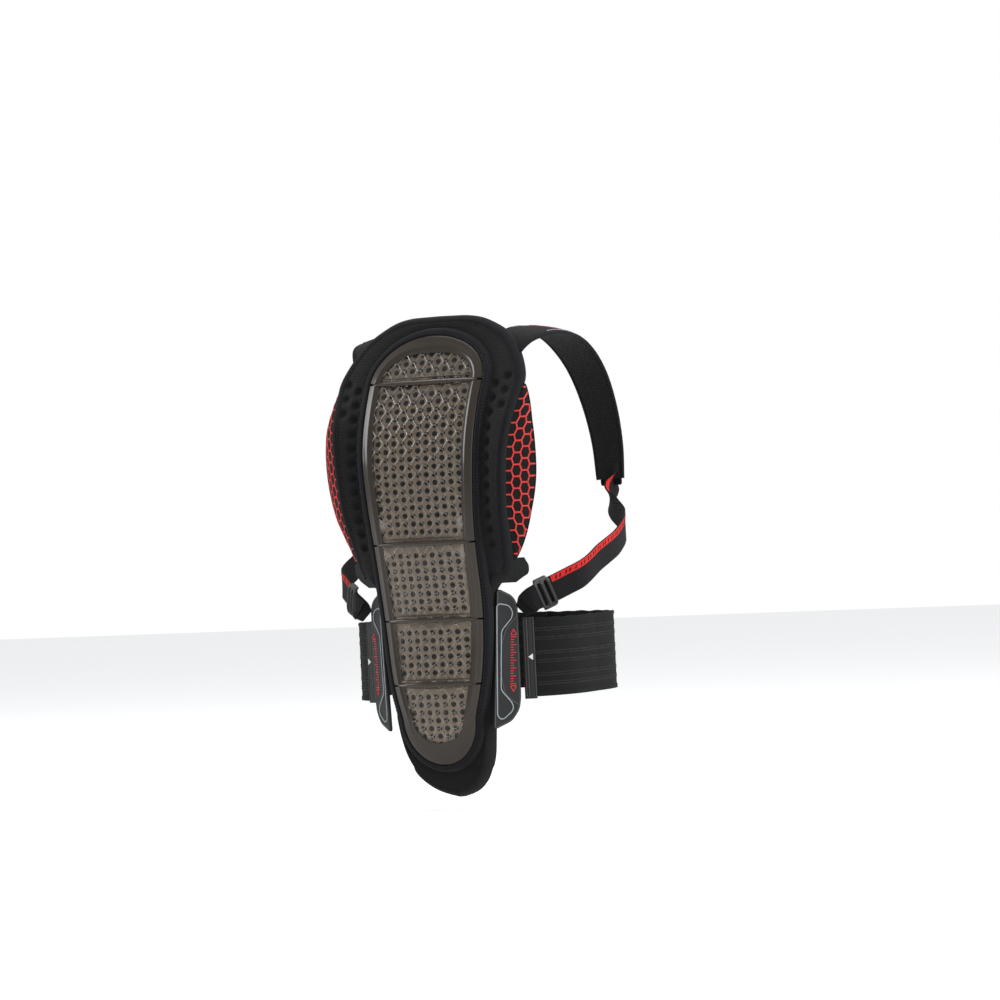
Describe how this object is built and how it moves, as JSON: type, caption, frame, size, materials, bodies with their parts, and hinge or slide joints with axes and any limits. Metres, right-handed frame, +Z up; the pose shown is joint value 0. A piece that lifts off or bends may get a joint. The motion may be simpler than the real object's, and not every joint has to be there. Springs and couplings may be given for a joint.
{
  "type": "back protector",
  "caption": "Worn back protector: flexing see-through shell sections over perforated foam on a padded mesh back, with stretch wings, straps and a height-adjustable waist belt.",
  "frame": {"origin": "on the axis of the wearer's trunk, level with the lowest tip of the tail", "axes": "+Z up along the spine, -Y behind the wearer, +Y the wearer's front, +X the wearer's right"},
  "size_m": [0.2998, 0.2666, 0.51],
  "materials": {
    "smoked_shell": "smoked see-through polycarbonate, glossy",
    "perforated_foam": "matte perforated impact foam",
    "air_mesh": "black spacer mesh",
    "liner_mesh": "soft black liner mesh",
    "binding_tape": "woven binding tape",
    "red_net": "red hexagon net over black mesh",
    "grey_knit": "dark grey stretch knit",
    "moulded_rubber": "satin moulded rubber",
    "silver_print": "silver raised print",
    "red_print": "red raised print",
    "belt_elastic": "ribbed elastic",
    "white_print": "white raised print",
    "hook_loop": "hook-and-loop",
    "strap_fabric": "padded strap fabric",
    "webbing": "woven nylon webbing",
    "buckle_plastic": "moulded nylon"
  },
  "bodies": {
    "upper_back": {"shell_plate_2": "smoked_shell", "perforated_foam_2": "perforated_foam", "backing_pad_2": "air_mesh", "comfort_liner_2": "liner_mesh", "shell_binding_2": "binding_tape", "shell_rib_2": "smoked_shell", "stretch_wing_right": "red_net", "stretch_wing_left": "red_net", "side_panel_right": "grey_knit", "side_panel_left": "grey_knit", "shoulder_strap_right": "strap_fabric", "shoulder_strap_left": "strap_fabric", "side_strap_right": "webbing", "side_strap_left": "webbing"},
    "cap": {"shell_plate_1": "smoked_shell", "perforated_foam_1": "perforated_foam", "backing_pad_1": "air_mesh", "comfort_liner_1": "liner_mesh", "shell_binding_1": "binding_tape", "shell_rib_1": "smoked_shell"},
    "mid_back": {"shell_plate_3": "smoked_shell", "perforated_foam_3": "perforated_foam", "backing_pad_3": "air_mesh", "comfort_liner_3": "liner_mesh", "shell_binding_3": "binding_tape", "shell_rib_3": "smoked_shell", "strap_anchor_right": "webbing", "strap_anchor_left": "webbing"},
    "lumbar": {"shell_plate_4": "smoked_shell", "perforated_foam_4": "perforated_foam", "backing_pad_4": "air_mesh", "comfort_liner_4": "liner_mesh", "shell_binding_4": "binding_tape", "shell_rib_4": "smoked_shell", "adjustment_plate_right": "moulded_rubber", "adjustment_plate_left": "moulded_rubber", "plate_piping_right": "silver_print", "plate_piping_left": "silver_print", "height_scale_right": "red_print", "height_scale_left": "red_print"},
    "tail": {"shell_plate_5": "smoked_shell", "perforated_foam_5": "perforated_foam", "backing_pad_5": "air_mesh", "comfort_liner_5": "liner_mesh", "shell_binding_5": "binding_tape", "tail_pad": "air_mesh"},
    "belt_carrier_right": {"belt_end_strip_right": "moulded_rubber", "belt_pointer_right": "white_print", "belt_elastic_right": "belt_elastic"},
    "belt_carrier_left": {"belt_end_strip_left": "moulded_rubber", "belt_pointer_left": "white_print", "belt_elastic_left": "belt_elastic", "belt_front_left": "belt_elastic", "closure_loop_patch": "hook_loop"},
    "belt_flap": {"belt_front_right": "belt_elastic", "closure_hook_patch": "hook_loop"},
    "buckle_right": {"ladder_buckle_right": "buckle_plastic"},
    "buckle_left": {"ladder_buckle_left": "buckle_plastic"}
  },
  "joints": [
    {"name": "flex_cap", "type": "hinge", "parent": "upper_back", "child": "cap", "pos_m": [0, -0.1034, 0.441], "axis": [-1, 0, 0], "range_deg": [-3, 6], "stiffness_Nm_per_rad": 12},
    {"name": "flex_upper", "type": "hinge", "parent": "upper_back", "child": "mid_back", "pos_m": [0, -0.12903, 0.271], "axis": [1, 0, 0], "range_deg": [-3, 6], "stiffness_Nm_per_rad": 12},
    {"name": "flex_lumbar", "type": "hinge", "parent": "mid_back", "child": "lumbar", "pos_m": [0, -0.117, 0.19], "axis": [1, 0, 0], "range_deg": [-3, 6], "stiffness_Nm_per_rad": 12},
    {"name": "flex_tail", "type": "hinge", "parent": "lumbar", "child": "tail", "pos_m": [0, -0.1149, 0.122], "axis": [1, 0, 0], "range_deg": [-3, 6], "stiffness_Nm_per_rad": 12},
    {"name": "belt_height_right", "type": "slide", "parent": "lumbar", "child": "belt_carrier_right", "axis": [0, 0, 1], "range_m": [-0.028, 0.024], "stiffness_N_per_m": 600},
    {"name": "belt_height_left", "type": "slide", "parent": "lumbar", "child": "belt_carrier_left", "axis": [0, 0, 1], "range_m": [-0.028, 0.024], "stiffness_N_per_m": 600},
    {"name": "belt_open", "type": "hinge", "parent": "belt_carrier_right", "child": "belt_flap", "pos_m": [0.12888, 0.0184, 0.147], "axis": [0, 0, -1], "range_deg": [0, 75], "stiffness_Nm_per_rad": 1},
    {"name": "strap_adjust_right", "type": "slide", "parent": "upper_back", "child": "buckle_right", "axis": [0.6326, 0.6753, 0.3792], "range_m": [0, 0.02]},
    {"name": "strap_adjust_left", "type": "slide", "parent": "upper_back", "child": "buckle_left", "axis": [-0.6326, 0.6753, 0.3792], "range_m": [0, 0.02]}
  ],
  "couplings": [
    {"joint": "belt_height_left", "follows": "belt_height_right", "ratio": 1}
  ]
}
